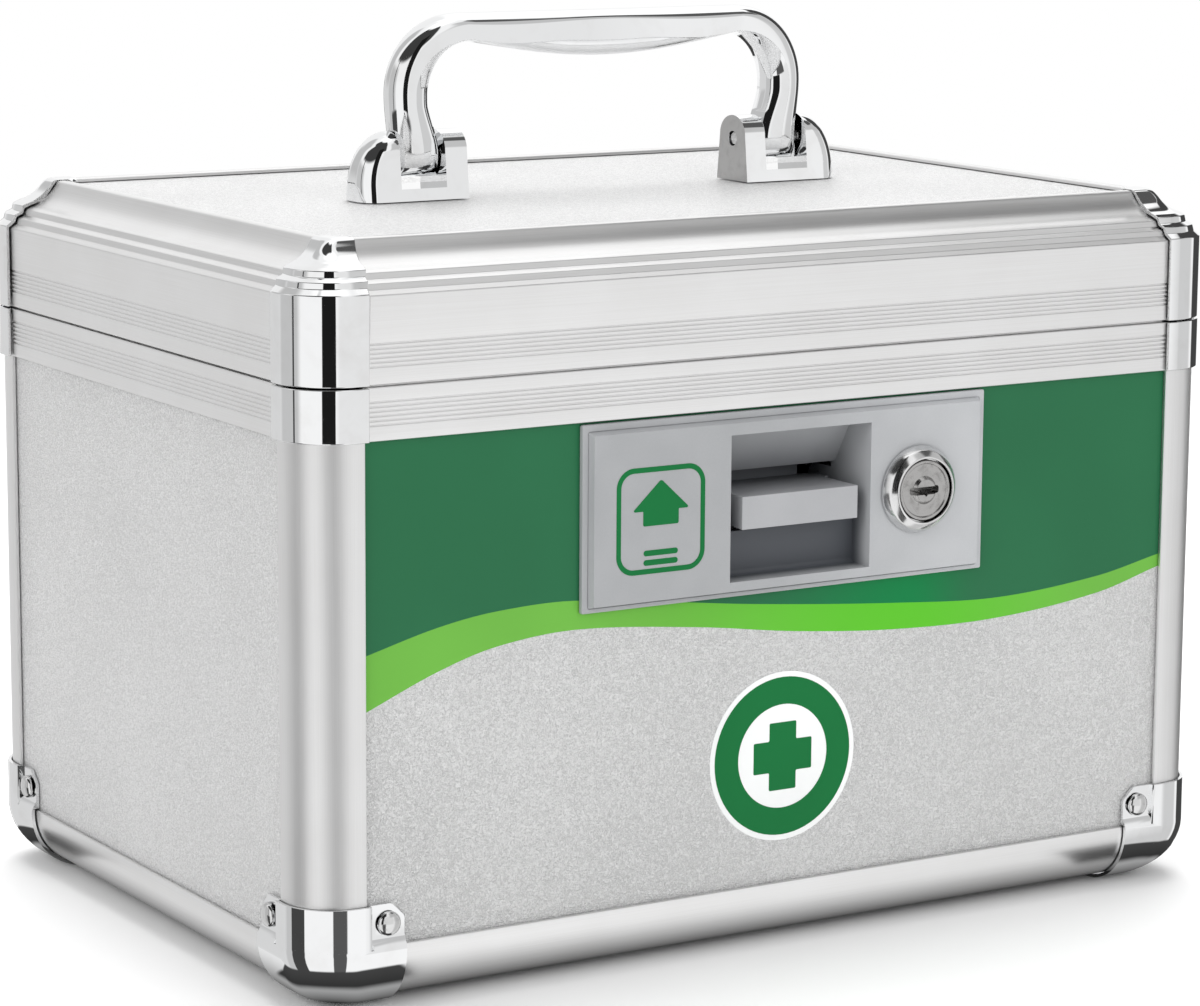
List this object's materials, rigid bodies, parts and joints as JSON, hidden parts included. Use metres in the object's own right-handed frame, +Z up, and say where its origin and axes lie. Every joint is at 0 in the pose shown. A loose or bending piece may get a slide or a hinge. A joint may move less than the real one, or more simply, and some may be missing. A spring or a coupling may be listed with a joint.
{
  "type": "medication lock box",
  "caption": "Metal-framed medicine box with chrome corners, hinged lid, folding handle, lift latch and cam lock.",
  "frame": {"origin": "centre of the bounding box in plan, on the surface the box stands on", "axes": "+Z up, +X to the right along the front, -Y out of the front"},
  "size_m": [0.2434, 0.1766, 0.2071],
  "materials": {
    "panel": "fine leather-grained laminate on board",
    "frame": "satin anodised extrusion",
    "chrome": "mirror plate on zinc casting",
    "moulding": "fine matt moulded plastic",
    "steel": "plain zinc-plated steel",
    "rivet": "nickel-plated dome",
    "lock_metal": "satin nickel",
    "print_dark_green": "printed film",
    "print_lime": "printed film",
    "print_white": "printed film",
    "print_badge_green": "printed film",
    "moulding_shade": "fine matt moulded plastic"
  },
  "bodies": {
    "body": {"front_panel": "panel", "front_bottom_rail": "frame", "front_rim_rail": "frame", "front_rivet_left": "rivet", "front_rivet_right": "rivet", "right_panel": "panel", "right_bottom_rail": "frame", "right_rim_rail": "frame", "right_rivet_left": "rivet", "right_rivet_right": "rivet", "rear_panel": "panel", "rear_bottom_rail": "frame", "rear_rim_rail": "frame", "rear_rivet_left": "rivet", "rear_rivet_right": "rivet", "left_panel": "panel", "left_bottom_rail": "frame", "left_rim_rail": "frame", "left_rivet_left": "rivet", "left_rivet_right": "rivet", "front_left_post": "frame", "front_left_body_corner": "chrome", "front_left_bottom_corner": "chrome", "front_right_post": "frame", "front_right_body_corner": "chrome", "front_right_bottom_corner": "chrome", "rear_right_post": "frame", "rear_right_body_corner": "chrome", "rear_right_bottom_corner": "chrome", "rear_left_post": "frame", "rear_left_body_corner": "chrome", "rear_left_bottom_corner": "chrome", "bottom_panel": "panel", "lock_plate": "moulding", "latch_pin": "steel", "latch_spring": "steel", "lift_spring": "steel", "lock_barrel": "chrome", "lock_nut": "steel", "hinge_body_leaf": "steel", "hinge_pin": "steel"},
    "lid": {"front_lid_rail": "frame", "right_lid_rail": "frame", "rear_lid_rail": "frame", "left_lid_rail": "frame", "front_left_lid_corner": "chrome", "front_right_lid_corner": "chrome", "rear_right_lid_corner": "chrome", "rear_left_lid_corner": "chrome", "lid_top_panel": "panel", "hinge_lid_leaf": "steel", "lid_catch": "steel", "left_handle_bracket": "chrome", "right_handle_bracket": "chrome", "left_handle_pin": "steel", "right_handle_pin": "steel"},
    "handle": {"handle": "chrome"},
    "latch": {"latch_lever": "moulding"},
    "lock": {"lock_plug": "lock_metal", "lock_cam": "steel"}
  },
  "joints": [
    {"name": "lid_hinge", "type": "hinge", "parent": "body", "child": "lid", "pos_m": [0, 0.0854, 0.136], "axis": [-1, 0, 0], "range_deg": [0, 95], "deforming": ["lift_spring"]},
    {"name": "handle_fold", "type": "hinge", "parent": "lid", "child": "handle", "pos_m": [0, 0, 0.175], "axis": [1, 0, 0], "range_deg": [-90, 90]},
    {"name": "latch_lift", "type": "hinge", "parent": "body", "child": "latch", "pos_m": [0.003, -0.0638, 0.1011], "axis": [-1, 0, 0], "range_deg": [0, 14], "stiffness_Nm_per_rad": 0.1, "springref_deg": -28.65, "deforming": ["latch_spring"]},
    {"name": "lock_turn", "type": "hinge", "parent": "body", "child": "lock", "pos_m": [0.0338, -0.07, 0.1028], "axis": [0, -1, 0], "range_deg": [0, 90]}
  ]
}
